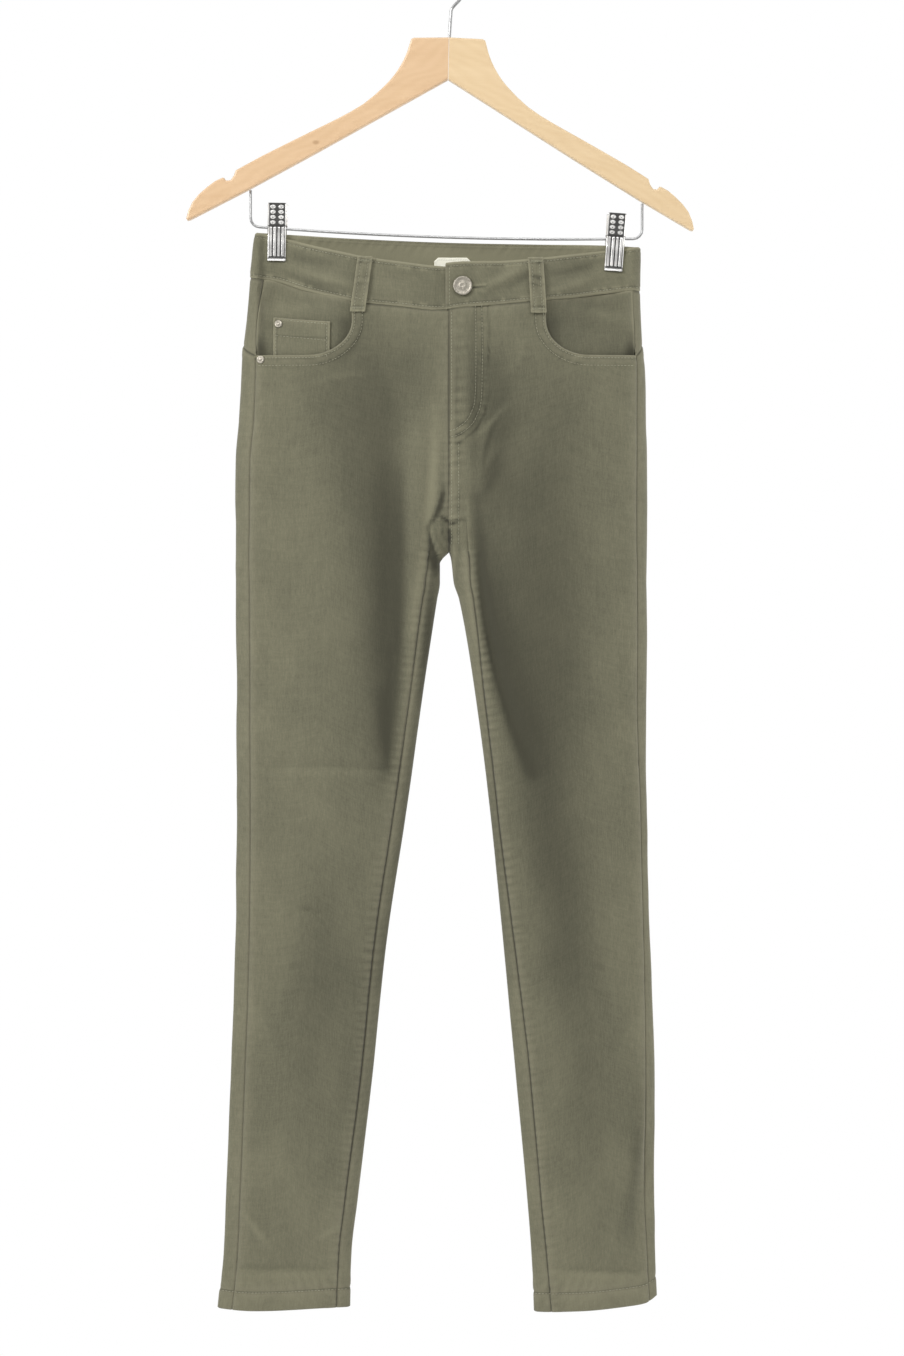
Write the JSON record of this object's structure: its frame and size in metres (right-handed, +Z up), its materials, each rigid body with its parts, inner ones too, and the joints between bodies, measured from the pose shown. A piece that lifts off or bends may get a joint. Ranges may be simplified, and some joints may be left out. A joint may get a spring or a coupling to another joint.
{
  "type": "jeans on a clip hanger",
  "caption": "Skinny jeans with scoop front pockets, a coin pocket, back pockets and belt loops, hung by the waistband from spring clips on a wire bar under a notched wooden hanger.",
  "frame": {"origin": "the rail's contact: the lowest point of the inside of the hook's top, where the hanger rests on its rail", "axes": "+Z up, +X to the right as the front is seen (the wearer's left), and the front of the jeans faces -Y"},
  "size_m": [0.4443, 0.0449, 1.1849],
  "materials": {
    "twill": "matte, washed olive-green stretch twill",
    "label": "matte, bare cream woven tape",
    "wood": "clear satin lacquer on pale wood",
    "steel": "bright nickel-plated steel",
    "pewter": "dull antique pewter"
  },
  "bodies": {
    "root": {"front_left": "twill", "front_right": "twill", "back_left": "twill", "back_right": "twill", "yoke_left": "twill", "yoke_right": "twill", "waistband": "twill", "fly_placket": "twill", "facing_left": "twill", "facing_right": "twill", "coin_pocket": "twill", "back_pocket_left": "twill", "back_pocket_right": "twill", "loop_front_left": "twill", "loop_front_right": "twill", "loop_back_left": "twill", "loop_back_centre": "twill", "loop_back_right": "twill", "label": "label", "hanger_left": "wood", "hanger_right": "wood", "hook": "steel", "clip_bar": "steel", "clip_left_front_jaw": "steel", "clip_left_back_jaw": "steel", "clip_left_spring": "steel", "clip_right_front_jaw": "steel", "clip_right_back_jaw": "steel", "clip_right_spring": "steel", "button": "pewter", "rivet_left": "pewter", "rivet_right": "pewter", "rivet_coin": "pewter"}
  },
  "joints": []
}
